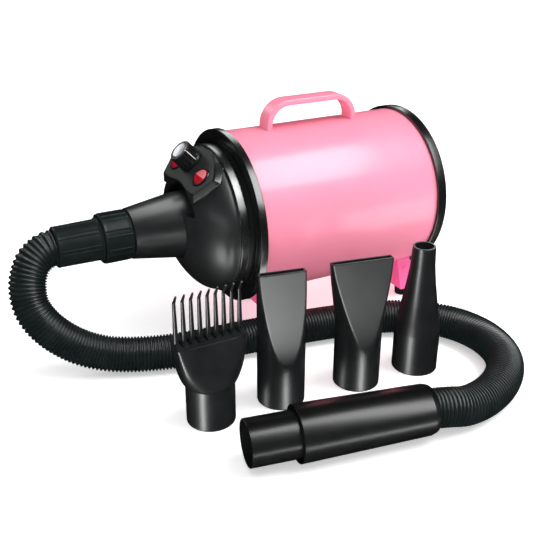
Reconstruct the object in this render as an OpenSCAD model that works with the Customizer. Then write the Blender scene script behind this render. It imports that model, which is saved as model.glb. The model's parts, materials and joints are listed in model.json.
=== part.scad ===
// Forced-air pet dryer with its hose, wand and four nozzles.
// The frame is +Z up, with the blower's axis along X and its outlet towards -X.
// The origin is on the floor, under the middle of the box of all the rigid parts.

/* [Body] */
// Outer radius of the steel shell
shell_r = 88.4; // [80:0.1:90]
// Outer radius of the black bands at both ends
band_r = 92; // [90.5:0.5:96]
// Thickness of the shell's sheet
shell_t = 1.2; // [0.8:0.1:2]
// Height of the blower's axis above the floor
axis_h = 125; // [122:0.5:130]
// Distance of the blower's axis behind the origin
axis_y = 101.5; // [98:0.5:105]

/* [Front cover] */
// Radius of the neck behind the dome
neck_r = 76; // [74:0.5:77]
// Radius of the flange on the neck
flange_r = 78.5; // [78:0.1:80]
// How round the dome is (1 is a straight cone)
dome_power = 2.2; // [1.6:0.1:2.4]
// Wall thickness of the mouldings
wall = 2.5; // [2:0.1:3]

/* [Controls] */
// Slope of the control panel
panel_tilt = 43; // [38:1:46]
// Half width of the panel's front edge
panel_half = 39.5; // [38:0.5:42]
// Radius of the speed knob's skirt
knob_r = 13.2; // [12.5:0.1:13.5]
// Height of the speed knob
knob_h = 18.5; // [16:0.5:25]
// Radius of a rocker's button
rocker_r = 8.8; // [8:0.1:9]
// Distance of each rocker from the middle of the panel
rocker_y = 29.5; // [28:0.5:31]

/* [Handle] */
// Width of the handle's strap
handle_w = 20; // [16:1:24]
// Thickness of the handle's strap
handle_t = 6; // [5:0.5:7]
// Height of the handle's top above the blower's axis
handle_top = 117.5; // [114:0.5:124]

/* [Hose and wand] */
// Outer radius of the hose
hose_r = 18; // [17:0.5:18]
// Outer radius of the wand's outlet tube
wand_tube_r = 20.75; // [20.5:0.05:20.8]
// Outer radius of the wand's sleeve at its front end
sleeve_front_r = 25.3; // [25:0.1:26]
// Outer radius of the wand's sleeve at the hose
sleeve_back_r = 22.5; // [22.3:0.1:23]

/* [Nozzles] */
// Outer radius of every nozzle's socket
socket_r = 22.6; // [22.5:0.1:23.5]
// Inner radius of every nozzle's socket
socket_bore_r = 20.9; // [20.85:0.05:21.1]
// Height of the narrow nozzle
narrow_h = 132; // [120:1:140]
// Height of the wide nozzle
wide_h = 130; // [120:1:140]
// Height of the round nozzle
round_h = 132; // [120:1:140]
// Number of teeth on the comb nozzle
tooth_count = 9; // [7:1:9]

/* [Hidden] */
$fn = 72;

// places along the blower's axis
shell_x0 = -54;
shell_x1 = 166;
front_x = -56.5;
band_w = 8;
rear_band_x0 = 160;
rear_x = 170.5;
flange_x0 = -68;
flange_x1 = -62;
dome_x0 = -111.5;
dome_x1 = -70;
tube_root_r = 34;
tube_end_x = -160.5;
tube_end_r = 26;
spigot_r = 22.5;
spigot_x = -178.5;
cuff_x0 = -190;
hose_x = -235;
hose_gap = 0.3;
collar_r = 18.5;
running_gap = 0.06;

// control panel: its front edge, and the places of the controls on its slope
panel_x = -105.3;
panel_z = 44.2;
knob_s = 27;
knob_y = 6.5;
rocker_s = 19.3;
rocker_tip = 5;
block_depth = 7;
recess_r = 43;
post_r = 70.5;

// handle: inner half width, middle and corner radius
handle_x = 47.5;
handle_half = 54;
handle_corner = 26;

// brackets and feet
bracket_xs = [-28.5, 139.5];
bracket_len = 30;
bracket_slope = 11;
bracket_half = 50;
bracket_t = 1.6;
foot_h = 11;
foot_x = 21;
foot_y = 38;

// motor
fan_r = 64;
frame_r = 47;
rotor_r = 25.5;
shaft_r = 4;
coil_radii = [26, 36, 46];
coil_xs = [-39, -32, -25];
board_z = -75.5;
gland_z = -71;

// wand: its outlet end on the floor, its direction and its lengths
wand_end = [-149, -139.5];
wand_angle = -10.9;
wand_sleeve_x = 43;
wand_len = 168.5;

// nozzles: where they stand, and how far each blade is turned
comb_at = [-145.5, -61];
narrow_at = [-73.5, -62];
wide_at = [6.5, -70];
round_at = [74.5, -74.5];
blade_turn = -10.9;
nozzle_inner_r = 20.2;
wedge_z = 45;
blade_half = 3.5;
wide_half = 30;
comb_plate_z = 84;
comb_half = 33;
tooth_pitch = 7.6;
tooth_len = 50;

// route of the hose's middle line, from the cuff to the wand
hose_route = [
  [-235.3, 101.5, 125], [-245, 100.5, 123.5], [-257, 97.5, 115.5], [-265, 92.5, 101],
  [-267.5, 87, 85], [-265, 81, 70.5], [-256.5, 75.5, 55.5], [-243, 70.5, 41],
  [-226, 65, 29], [-206, 58.5, 21], [-185, 50, 18.2], [-162, 41, 18], [-137, 34.5, 18],
  [-105, 30, 18], [-70, 27, 18], [-30, 22, 18], [15, 15, 18], [60, 5, 18], [92, -6.5, 18],
  [117, -21.5, 18], [136, -40, 18], [148, -62, 18], [152.5, -86, 18], [149.5, -110, 18],
  [139.5, -132, 18], [122, -151, 18], [99, -165.5, 18], [75, -174, 18.5], [52, -177.5, 20.5],
  [34, -175.8, 24], [16.8, -171.5, 25.3]];
hose_sides = 12;
steps_per_point = 2;

black = "#1c1e1f";
pink = "#f9a3bf";
magenta = "#f0508f";
steel = "#b9bec2";
copper = "#b06a3a";

// a shape turned about the blower's axis, from points given as [x, radius]
module turned(points) {
  translate([0, axis_y, axis_h])
    rotate([0, 90, 0])
      rotate_extrude($fn = 120)
        polygon([for (p = points) [p[1], p[0]]]);
}

// a ring on the blower's axis
module ring(x0, x1, r0, r1) {
  turned([[x0, r0], [x0, r1], [x1, r1], [x1, r0]]);
}

// children with their own Z along the blower's axis, at x, turned by angle
module on_axis(x, angle = 0) {
  translate([x, axis_y, axis_h])
    rotate([angle, 0, 0])
      rotate([0, 90, 0])
        children();
}

// children placed on the control panel: s up its slope, y sideways, up off its face
module on_panel(s, y, up) {
  translate([panel_x, axis_y, axis_h + panel_z])
    rotate([0, -panel_tilt, 0])
      translate([s, y, up])
        children();
}

// children placed along the wand, with their own Z from its outlet towards the hose
module on_wand(z) {
  translate([wand_end[0], wand_end[1], sleeve_front_r])
    rotate([0, 0, wand_angle])
      rotate([0, 90, 0])
        translate([0, 0, z])
          children();
}

// ---- body ----

module body_shell() {
  color(pink)
    difference() {
      ring(shell_x0, shell_x1, shell_r - shell_t, shell_r);
      for (x = [handle_x - handle_half + 3, handle_x + handle_half - 3])
        for (y = [-6, 6])
          translate([x, axis_y + y, axis_h + shell_r - 5])
            cylinder(r = 2.1, h = 10, $fn = 24);
    }
}

module front_band() {
  color(black)
    turned([[front_x, 79.5], [front_x, band_r - 1], [front_x + 1, band_r],
      [front_x + band_w, band_r], [front_x + band_w, shell_r + 0.1], [shell_x0, shell_r + 0.1],
      [shell_x0, 79.5]]);
}

module rear_band() {
  color(black)
    turned([[rear_band_x0, shell_r + 0.1], [rear_band_x0, band_r], [rear_x - 1, band_r],
      [rear_x, band_r - 1], [rear_x, 84], [shell_x1 + 0.1, 84], [shell_x1 + 0.1, shell_r + 0.1]]);
}

module front_plate() {
  color(black)
    difference() {
      ring(-53.9, -51.5, 58.5, shell_r - shell_t - 0.1);
      for (a = [45:90:315])
        on_axis(-60, a)
          translate([post_r, 0, 0])
            cylinder(r = 2, h = 12, $fn = 24);
    }
}

// ---- front cover ----

function dome_radius(u) =
  tube_root_r + (neck_r - tube_root_r) * (1 - pow(1 - u, dome_power));

// dome and neck, drawn back inwards by t
module dome(t, r0) {
  turned(concat(
    [[dome_x0 + t, r0]],
    [for (i = [0:12]) [dome_x0 + t + (dome_x1 - dome_x0) * i / 12, dome_radius(i / 12) - t * 0.55]],
    [[front_x + 2.5, neck_r - t], [front_x + 2.5, r0]]));
}

// raised block under the control panel, drawn back inwards by t
module control_block(t) {
  intersection() {
    linear_extrude(300)
      polygon([for (p = [[panel_x + t, -panel_half], [panel_x + 15, -50], [flange_x0 + 1, -58],
        [flange_x0 + 1, 58], [panel_x + 15, 50], [panel_x + t, panel_half]])
        [p[0], axis_y + p[1] - sign(p[1]) * t]]);
    on_panel(-40, -80, t - block_depth)
      cube([160, 160, 60]);
    ring(panel_x - 1, flange_x0 + 1, 1, neck_r - t);
  }
}

// everything above the control panel's face, lowered by t
module above_panel(t) {
  on_panel(-30, -80, -t)
    cube([100, 160, 60]);
}

// pocket over the outlet tube, in the upper part of the dome's nose, with t added all round
module nose_pocket(t) {
  intersection() {
    union() {
      ring(dome_x0 - 10, -91 + t, 1, recess_r + t);
      turned([[dome_x0 - 1, 1], [dome_x0 - 1, 58 + t], [panel_x - 1, 49 + t],
        [panel_x + 4.5, recess_r - 0.5 + t], [panel_x + 4.5, 1]]);
    }
    translate([dome_x0 - 20, axis_y - 70, axis_h + 20 - t])
      cube([70, 140, 70]);
  }
}

// the posts that the cover's four screws go into
module cover_posts() {
  for (a = [45:90:315])
    on_axis(-72, a)
      translate([post_r, 0, 0])
        cylinder(r = 4.5, h = 18, $fn = 32);
}

module front_cover() {
  color(black)
    difference() {
      union() {
        difference() {
          union() {
            dome(0, 1);
            control_block(0);
          }
          above_panel(0);
        }
        turned([[flange_x0, 70], [flange_x0, flange_r - 1], [flange_x0 + 1, flange_r],
          [flange_x1, flange_r], [flange_x1, 70]]);
      }
      difference() {
        union() {
          dome(wall, 1);
          control_block(wall);
        }
        above_panel(wall);
        nose_pocket(wall);
        cover_posts();
      }
      nose_pocket(0);
      on_axis(-130)
        cylinder(r = tube_root_r + 0.1, h = 60, $fn = 120);
      on_panel(knob_s, knob_y, -6)
        cylinder(r = 4, h = 12, $fn = 32);
      for (y = [-rocker_y, rocker_y])
        on_panel(rocker_s, y, -20)
          cylinder(r = rocker_r + 0.7, h = 26, $fn = 48);
      for (a = [45:90:315])
        on_axis(-66, a)
          translate([post_r, 0, 0])
            cylinder(r = 1.5, h = 20, $fn = 24);
    }
}

// outlet tube with the funnel that gathers the air behind it
module outlet_tube() {
  color(black)
    turned([[spigot_x, spigot_r - wall], [spigot_x, spigot_r], [tube_end_x, spigot_r],
      [tube_end_x, tube_end_r], [dome_x0, tube_root_r - 0.1], [-87.5, tube_root_r - 0.1],
      [-54, 58.2], [-54, 56], [-86.5, tube_root_r - wall], [dome_x0, tube_root_r - wall - 0.5],
      [tube_end_x, tube_end_r - wall - 4]]);
}

// ---- hose and wand ----

module hose_cuff_ring() {
  color(black) {
    turned([[cuff_x0, spigot_r + running_gap], [cuff_x0, 24.4], [cuff_x0 + 0.8, 25.2],
      [tube_end_x - 1.3, 25.2], [tube_end_x - 0.5, 24.4],
      [tube_end_x - 0.5, spigot_r + running_gap]]);
    for (a = [0:45:315])
      for (side = [-7, 7])
        on_axis(cuff_x0 + 2, a + side)
          translate([24.5, -0.9, 0])
            cube([1.3, 1.8, 25]);
  }
}

module hose_cuff_sleeve() {
  color(black) {
    turned([[hose_x, collar_r + running_gap], [hose_x, 19.7], [hose_x + 1, 20.5],
      [cuff_x0 - 0.05, 21.4], [cuff_x0 - 0.05, collar_r + running_gap]]);
    for (a = [15:30:345])
      on_axis(hose_x + 3, a)
        translate([20.1, -0.6, 0])
          cube([1.1, 1.2, 41]);
  }
}

// collar on the hose's end, held inside the cuff
module hose_end_collar() {
  color(black)
    ring(hose_x - hose_gap, cuff_x0 - 2, 15, collar_r);
}

function blend_point(a, b, c, d, t) = 0.5 * (
  2 * b + (c - a) * t + (2 * a - 5 * b + 4 * c - d) * t * t
  + (3 * b - a - 3 * c + d) * t * t * t);
function route_point(i) = hose_route[max(0, min(len(hose_route) - 1, i))];
function unit(v) = v / norm(v);
hose_line = concat(
  [for (i = [0:len(hose_route) - 2])
    for (j = [0:steps_per_point - 1])
      blend_point(route_point(i - 1), route_point(i), route_point(i + 1), route_point(i + 2),
        j / steps_per_point)],
  [hose_route[len(hose_route) - 1]]);
hose_count = len(hose_line);
hose_last = hose_count - 1;
wand_dir = [cos(wand_angle), sin(wand_angle), 0];
function along(i) =
  i == 0 ? [-1, 0, 0]
  : i == hose_last ? -wand_dir
  : unit(hose_line[i + 1] - hose_line[i - 1]);
function level_side(i) = unit(cross(along(i), [0, 0, 1]));
// the side vector stays level, so a ring never leans along the hose
function hose_ring(i) =
  let (side = level_side(i), up = cross(side, along(i)))
    [for (k = [0:hose_sides - 1])
      let (a = 360 * k / hose_sides)
        hose_line[i] + hose_r * (cos(a) * side + sin(a) * up)];

module hose_tube() {
  points = [for (i = [0:hose_last]) for (p = hose_ring(i)) p];
  sides = [for (i = [0:hose_last - 1])
    for (k = [0:hose_sides - 1])
      let (n = (k + 1) % hose_sides)
        [i * hose_sides + k, (i + 1) * hose_sides + k, (i + 1) * hose_sides + n,
          i * hose_sides + n]];
  start = [for (k = [0:hose_sides - 1]) k];
  finish = [for (k = [hose_sides - 1:-1:0]) hose_last * hose_sides + k];
  color("#20282a")
    polyhedron(points, concat([start], sides, [finish]), convexity = 10);
}

module tube(z0, z1, r0, r1) {
  translate([0, 0, z0])
    difference() {
      cylinder(r = r1, h = z1 - z0, $fn = 96);
      translate([0, 0, -1])
        cylinder(r = r0, h = z1 - z0 + 2, $fn = 96);
    }
}

// collar on the hose's other end, held inside the wand
module wand_collar() {
  color(black)
    on_wand(0)
      tube(145, wand_len + hose_gap, 15, collar_r);
}

module wand_sleeve() {
  color(black)
    on_wand(0)
      rotate_extrude($fn = 120)
        polygon([[sleeve_front_r - 2, wand_sleeve_x], [sleeve_front_r - 0.5, wand_sleeve_x],
          [sleeve_front_r, wand_sleeve_x + 0.6], [sleeve_back_r + 0.4, wand_len - 3],
          [sleeve_back_r - 1.5, wand_len], [collar_r + running_gap, wand_len],
          [collar_r + running_gap, 140], [wand_tube_r - 0.3, 140], [wand_tube_r - 0.3, 52],
          [sleeve_front_r - 2, 52]]);
}

module wand_tube() {
  color(black)
    on_wand(0)
      rotate_extrude($fn = 120)
        polygon([[18.75, 0], [wand_tube_r - 0.4, 0], [wand_tube_r, 0.5], [wand_tube_r, 42.5],
          [wand_tube_r - 0.4, 42.5], [wand_tube_r - 0.4, 139.5], [18.75, 139.5]]);
}

// ---- handle, brackets and feet ----

module handle_outline(grow) {
  top = handle_top - (handle_t - grow);
  half = handle_half - (handle_t - grow);
  corner = handle_corner - (handle_t - grow);
  for (side = [-1, 1])
    translate([side * (half - corner), top - corner])
      circle(r = corner);
  translate([-(half - corner), 60])
    square([2 * (half - corner), top - 60]);
  translate([-half, 60])
    square([2 * half, top - corner - 60]);
}

module handle() {
  color(pink)
    difference() {
      translate([handle_x, axis_y + handle_w / 2, axis_h])
        rotate([90, 0, 0])
          linear_extrude(handle_w)
            difference() {
              handle_outline(handle_t);
              handle_outline(0);
            }
      ring(-20, 120, 0.1, shell_r + 0.05);
      for (x = [handle_x - handle_half + 3, handle_x + handle_half - 3])
        for (y = [-6, 6])
          translate([x, axis_y + y, axis_h + shell_r - 5])
            cylinder(r = 1.6, h = 16, $fn = 24);
    }
}

module handle_screws() {
  color(steel)
    for (x = [handle_x - handle_half + 3, handle_x + handle_half - 3])
      for (y = [-6, 6])
        translate([x, axis_y + y, axis_h + shell_r - 3.9]) {
          cylinder(r = 1.6, h = 12, $fn = 24);
          cylinder(r = 3.2, h = 2, $fn = 24);
        }
}

// one folded bracket: sloping front, two sides and a floor, shaped to the shell
module bracket(x0) {
  difference() {
    translate([x0, axis_y + bracket_half, foot_h])
      rotate([90, 0, 0])
        linear_extrude(2 * bracket_half)
          polygon([[0, 50], [bracket_slope, 0], [bracket_len, 0], [bracket_len, 50]]);
    translate([x0, axis_y + bracket_half - bracket_t, foot_h + bracket_t])
      rotate([90, 0, 0])
        linear_extrude(2 * (bracket_half - bracket_t))
          polygon([[bracket_t, 51], [bracket_slope + bracket_t, 0], [bracket_len + 1, 0],
            [bracket_len + 1, 51]]);
    on_axis(x0 - 1)
      cylinder(r = shell_r + 0.1, h = bracket_len + 2, $fn = 120);
    on_axis(rear_band_x0 - 0.1)
      cylinder(r = band_r + 0.1, h = 20, $fn = 120);
    for (y = [-foot_y, foot_y])
      translate([x0 + foot_x, axis_y + y, 0])
        cylinder(r = 2.2, h = 20, $fn = 24);
    for (side = [-1, 1])
      translate([x0 + 14, axis_y + side * bracket_half, 38])
        rotate([90, 0, 0])
          cylinder(r = 2.1, h = 10, center = true, $fn = 24);
  }
}

module front_bracket() {
  color(magenta)
    bracket(bracket_xs[0]);
}

module rear_bracket() {
  color(magenta)
    bracket(bracket_xs[1]);
}

module bracket_rivets() {
  color(magenta)
    for (x0 = bracket_xs)
      for (side = [-1, 1])
        translate([x0 + 14, axis_y + side * bracket_half, 38])
          rotate([side * 90, 0, 0]) {
            translate([0, 0, -0.8])
              cylinder(r = 2.9, h = 0.8, $fn = 32);
            translate([0, 0, -0.8])
              cylinder(r = 2, h = 4, $fn = 24);
          }
}

module rubber_feet() {
  color("#151515")
    for (x0 = bracket_xs)
      for (y = [-foot_y, foot_y])
        translate([x0 + foot_x, axis_y + y, 0])
          difference() {
            cylinder(r1 = 7.4, r2 = 8.4, h = foot_h - 0.02, $fn = 48);
            translate([0, 0, -1])
              cylinder(r = 3.6, h = 5, $fn = 32);
            cylinder(r = 1.9, h = 20, $fn = 24);
          }
}

module foot_screws() {
  color(steel)
    for (x0 = bracket_xs)
      for (y = [-foot_y, foot_y])
        translate([x0 + foot_x, axis_y + y, 0]) {
          translate([0, 0, 2])
            cylinder(r = 3.3, h = 2, $fn = 24);
          translate([0, 0, 2])
            cylinder(r = 1.8, h = 15, $fn = 24);
          translate([0, 0, foot_h + bracket_t])
            cylinder(r = 3.5, h = 2.6, $fn = 6);
        }
}

// ---- controls ----

module speed_knob() {
  color(black)
    on_panel(knob_s, knob_y, 0.6)
      difference() {
        union() {
          cylinder(r = knob_r, h = 3.5, $fn = 72);
          cylinder(r = knob_r - 1.2, h = knob_h, $fn = 72);
          for (a = [0:15:345])
            rotate([0, 0, a])
              translate([knob_r - 1.6, -0.6, 3])
                cube([1, 1.2, knob_h - 4.5]);
        }
        translate([0, 0, knob_h - 1.2])
          cylinder(r = 9.4, h = 3, $fn = 64);
        translate([0, 0, -1])
          cylinder(r = 3.1, h = 13, $fn = 32);
      }
}

module knob_cap() {
  color("silver")
    on_panel(knob_s, knob_y, 0.6 + knob_h - 1.2)
      cylinder(r = 9.3, h = 1.6, $fn = 64);
}

module potentiometer() {
  color(steel)
    on_panel(knob_s, knob_y, -wall - 8.2)
      difference() {
        union() {
          cylinder(r = 8, h = 8, $fn = 48);
          cylinder(r = 3.8, h = 10.4, $fn = 32);
        }
        translate([0, 0, 2])
          cylinder(r = 3.06, h = 12, $fn = 32);
      }
}

module pot_shaft() {
  color(steel)
    on_panel(knob_s, knob_y, -wall - 5.7)
      cylinder(r = 3, h = 19, $fn = 32);
}

// a round rocker's button: a disc with two sloping halves, tipped on two stub pins
module rocker(y) {
  color("#c8102e")
    on_panel(rocker_s, y, -1)
      rotate([0, -rocker_tip, 0]) {
        rotate([90, 0, 0])
          cylinder(r = 1, h = 2 * rocker_r + 0.4, center = true, $fn = 24);
        intersection() {
          translate([0, 0, -1.2])
            cylinder(r = rocker_r - 0.8, h = 6, $fn = 48);
          translate([0, 10, 0])
            rotate([90, 0, 0])
              linear_extrude(20)
                polygon([[-9, -2], [9, -2], [9, 2.1], [0, 3.6], [-9, 2.1]]);
        }
      }
}

module power_rocker() {
  rocker(-rocker_y);
}

module heat_rocker() {
  rocker(rocker_y);
}

module switch_bezels() {
  color(black)
    for (y = [-rocker_y, rocker_y])
      on_panel(rocker_s, y, 0)
        difference() {
          rotate_extrude($fn = 64)
            polygon([[rocker_r - 0.2, -3.4], [rocker_r - 0.2, 0.9], [rocker_r + 0.2, 1.4],
              [rocker_r + 1.3, 1.2], [rocker_r + 2, 0.05], [rocker_r + 0.6, 0.05],
              [rocker_r + 0.6, -3.4]]);
          translate([0, 0, -1])
            rotate([90, 0, 0])
              cylinder(r = 1.05, h = 30, center = true, $fn = 24);
        }
}

// switch housings with their terminals
module switch_bodies() {
  color("#2a2a2a")
    for (y = [-rocker_y, rocker_y])
      on_panel(rocker_s, y, 0) {
        translate([0, 0, -13.5])
          cylinder(r = rocker_r - 0.3, h = 10, $fn = 48);
        for (x = [-4, 4])
          translate([x - 0.4, -2, -18])
            cube([0.8, 4, 5]);
      }
}

module cover_screws() {
  color(steel)
    for (a = [45:90:315])
      on_axis(0, a)
        translate([post_r, 0, 0]) {
          translate([0, 0, -64])
            cylinder(r = 1.5, h = 13, $fn = 24);
          translate([0, 0, -51.5])
            cylinder(r = 3.2, h = 2, $fn = 24);
        }
}

// ---- rear end ----

module rear_plate() {
  color(black)
    difference() {
      union() {
        ring(157, 160, 56, shell_r - shell_t - 0.1);
        ring(152, 164, 56, 58.5);
      }
      translate([150, axis_y, axis_h + gland_z])
        rotate([0, 90, 0])
          cylinder(r = 6.2, h = 20, $fn = 48);
      for (a = [30:60:330])
        on_axis(150, a)
          translate([-82, 0, 0])
            cylinder(r = 1.6, h = 20, $fn = 24);
    }
}

module rear_grille() {
  color(black) {
    ring(161, 170, 59, 61.5);
    for (r = [10:9:55])
      ring(168, 170.5, r, r + 3);
    ring(167, 170, 56, 61.5);
    on_axis(166.5)
      cylinder(r = 11, h = 5, $fn = 64);
    for (a = [0:45:315])
      on_axis(167, a)
        translate([9, -1.3, 0])
          cube([49, 2.6, 2.6]);
  }
}

module foam_filter() {
  color("#3c3f42")
    on_axis(156)
      cylinder(r = 55.6, h = 10.3, $fn = 96);
}

module cord_gland() {
  color("#161616")
    translate([0, axis_y, axis_h + gland_z])
      rotate([0, 90, 0])
        difference() {
          union() {
            translate([0, 0, 150])
              cylinder(r = 6.1, h = 14, $fn = 48);
            translate([0, 0, 160.05])
              cylinder(r = 8.8, h = 3.5, $fn = 6);
            translate([0, 0, 160.05])
              cylinder(r1 = 7.4, r2 = 5.6, h = 18.45, $fn = 48);
          }
          translate([0, 0, 149])
            cylinder(r = 3.8, h = 31, $fn = 48);
        }
}

module gland_nut() {
  color("#161616")
    translate([153.5, axis_y, axis_h + gland_z])
      rotate([0, 90, 0])
        difference() {
          cylinder(r = 9.2, h = 3.4, $fn = 6);
          translate([0, 0, -1])
            cylinder(r = 6.2, h = 6, $fn = 48);
        }
}

module sound_foam() {
  color("#4a4a4c")
    ring(2, 93, 81, shell_r - shell_t - 0.3);
}

// ---- motor ----

module bulkhead() {
  color(steel)
    difference() {
      ring(116, 118, 68, shell_r - shell_t - 0.2);
      on_axis(110)
        translate([74, 0, 0])
          cylinder(r = 3, h = 12, $fn = 24);
    }
}

module fan_gasket() {
  color("#222222")
    turned([[110, fan_r + 0.05], [110, fan_r + 3.9], [118.5, fan_r + 3.9], [118.5, 72], [121, 72],
      [121, fan_r + 0.05]]);
}

module fan_housing() {
  color(steel)
    difference() {
      turned([[72, shaft_r + 7.2], [72, fan_r], [124, fan_r], [124, 24], [122.5, 24],
        [122.5, fan_r - 1.5], [73.5, fan_r - 1.5], [73.5, 14], [76, 14], [76, shaft_r + 7.2]]);
      for (a = [0:45:315])
        on_axis(60, a)
          translate([36, 0, 0])
            cylinder(r = 7, h = 20, $fn = 32);
    }
}

// one impeller: two discs with curved blades between them
module impeller(x) {
  turned([[x, shaft_r], [x, 58], [x + 1, 58], [x + 1, 9], [x + 12, 9], [x + 12, shaft_r]]);
  ring(x + 11, x + 12, 22, 58);
  for (a = [0:45:315])
    on_axis(x + 0.5, a)
      translate([18, 20, 0])
        intersection() {
          difference() {
            cylinder(r = 34, h = 11, $fn = 64);
            translate([0, 0, -1])
              cylinder(r = 33, h = 13, $fn = 64);
          }
          translate([0, -34, 0])
            cube([40, 26, 11]);
        }
}

module impellers() {
  color("#c9ccd0") {
    impeller(81);
    impeller(105);
  }
}

module diffuser() {
  color("#d8d8d8") {
    ring(98, 100, 12, fan_r - 1.6);
    for (a = [0:60:300])
      on_axis(95, a)
        translate([30, -0.8, 0])
          cube([30, 1.6, 3.2]);
  }
}

module motor_frame() {
  color(steel)
    difference() {
      union() {
        ring(-4, 71.9, frame_r - 2, frame_r);
        ring(-8, -4, 11.2, frame_r);
      }
      for (a = [0:45:315])
        on_axis(-10, a)
          translate([28, 0, 0])
            cylinder(r = 6, h = 10, $fn = 32);
      for (a = [30:60:330])
        on_axis(62, a)
          translate([frame_r, 0, 0])
            cylinder(r = 5, h = 8, $fn = 24);
      for (a = [90, 270])
        on_axis(7, a)
          translate([30, -4.2, -4.2])
            cube([20, 8.4, 8.4]);
    }
}

module stator() {
  color("#8d9196")
    difference() {
      ring(12, 60, rotor_r + 0.8, frame_r - 2.1);
      for (a = [60, 120, 240, 300])
        on_axis(10, a)
          translate([34, 0, 0])
            cylinder(r = 7, h = 52, $fn = 32);
    }
}

module field_coils() {
  color(copper)
    for (a = [60, 120, 240, 300])
      on_axis(8, a)
        translate([34, 0, 0])
          cylinder(r = 6.8, h = 56, $fn = 32);
}

module rotor_shaft() {
  color(steel)
    on_axis(-13)
      cylinder(r = shaft_r, h = 135, $fn = 48);
}

module armature() {
  color("#9a9da1")
    difference() {
      ring(14, 58, shaft_r + 0.1, rotor_r);
      for (a = [0:30:330])
        on_axis(13, a)
          translate([rotor_r - 2.5, -1.2, 0])
            cube([5, 2.4, 46]);
    }
}

module commutator() {
  color(copper)
    difference() {
      ring(1, 13, shaft_r + 0.1, 12);
      for (a = [0:30:330])
        on_axis(0, a)
          translate([11, -0.3, 0])
            cube([3, 0.6, 14]);
    }
}

// two ball bearings, each as its outer race
module bearings() {
  color("#dfe3e6")
    for (x = [-12, 68.5])
      ring(x, x + 7.5, shaft_r + 0.05, 11);
}

module brush_holders() {
  color("#6b4a2b")
    for (a = [90, 270])
      on_axis(7, a)
        difference() {
          translate([14, -4, -4])
            cube([36, 8, 8]);
          translate([13, -3, -3])
            cube([34, 6, 6]);
        }
}

module carbon_brushes() {
  color("#303030")
    for (a = [90, 270])
      on_axis(7, a)
        translate([12.3, -2.9, -2.9])
          cube([18, 5.8, 5.8]);
}

// three-armed plate that carries the motor's front end
module motor_spider() {
  color(steel) {
    ring(-11, -8.1, 14, 30);
    for (a = [0, 120, 240])
      on_axis(-11, a)
        difference() {
          translate([28, -7, 0])
            cube([58.5, 14, 2.9]);
          translate([70, 0, -1])
            cylinder(r = 3.2, h = 6, $fn = 24);
        }
  }
}

module spider_grommets() {
  color("#222222")
    for (a = [0, 120, 240])
      on_axis(-13, a)
        translate([70, 0, 0])
          difference() {
            union() {
              translate([0, 0, 1.5])
                cylinder(r = 3.1, h = 3.4, $fn = 32);
              cylinder(r = 5, h = 1.9, $fn = 32);
            }
            translate([0, 0, -1])
              cylinder(r = 1.5, h = 8, $fn = 24);
          }
}

// ---- heater and electronics ----

// two crossed boards, notched where the coils pass
module heater_boards() {
  color("#d9d2bd")
    difference() {
      for (a = [0, 90])
        on_axis(-44, a)
          translate([-56, -0.6, 0])
            cube([112, 1.2, 24]);
      for (r = coil_radii)
        for (x = coil_xs)
          ring(x - 1.7, x + 1.7, r - 1.7, r + 1.7);
    }
}

module heater_coils() {
  color("#a8a29a")
    for (r = coil_radii)
      for (x = coil_xs)
        turned([for (k = [0:15]) [x + 1.6 * sin(k * 22.5), r + 1.6 * cos(k * 22.5)]]);
}

module thermal_cutout() {
  color("#e8e4da")
    on_axis(-38)
      translate([14, 6.7, 0])
        cylinder(r = 6, h = 5, $fn = 32);
}

module control_board() {
  color("#2f6b3c")
    translate([10, axis_y - 22, axis_h + board_z])
      cube([56, 44, 1.6]);
  color("#38404a") {
    translate([18, axis_y - 12, axis_h + board_z + 1.6])
      cylinder(r = 5, h = 7, $fn = 32);
    translate([32, axis_y + 6, axis_h + board_z + 1.6])
      cube([14, 10, 6]);
    translate([52, axis_y - 14, axis_h + board_z + 1.6])
      cube([10, 8, 5]);
  }
  color("#b9bec2")
    translate([30, axis_y - 14, axis_h + board_z + 1.6])
      difference() {
        cube([18, 14, 9]);
        for (i = [0:3])
          translate([2 + 4 * i, -1, 2.5])
            cube([2, 16, 9]);
      }
}

// ---- nozzles ----

// the bore that fits over the wand's outlet tube
module socket_bore() {
  translate([0, 0, -1])
    cylinder(r = socket_bore_r, h = 39, $fn = 96);
}

module comb_nozzle() {
  color(black)
    translate([comb_at[0], comb_at[1], 0])
      difference() {
        union() {
          cylinder(r = socket_r, h = 42, $fn = 96);
          hull() {
            translate([0, 0, 41])
              cylinder(r = socket_r + 0.6, h = 1, $fn = 32);
            translate([0, 0, 50])
              scale([1.25, 1, 1])
                cylinder(r = socket_r, h = 1, $fn = 32);
            translate([-comb_half, -11, comb_plate_z - 1])
              cube([2 * comb_half, 20, 1]);
          }
        }
        socket_bore();
        hull() {
          translate([0, 0, 37.5])
            cylinder(r = nozzle_inner_r, h = 1, $fn = 32);
          translate([-comb_half + 2, -9, comb_plate_z + 0.5])
            cube([2 * comb_half - 4, 16, 1]);
        }
      }
}

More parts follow.
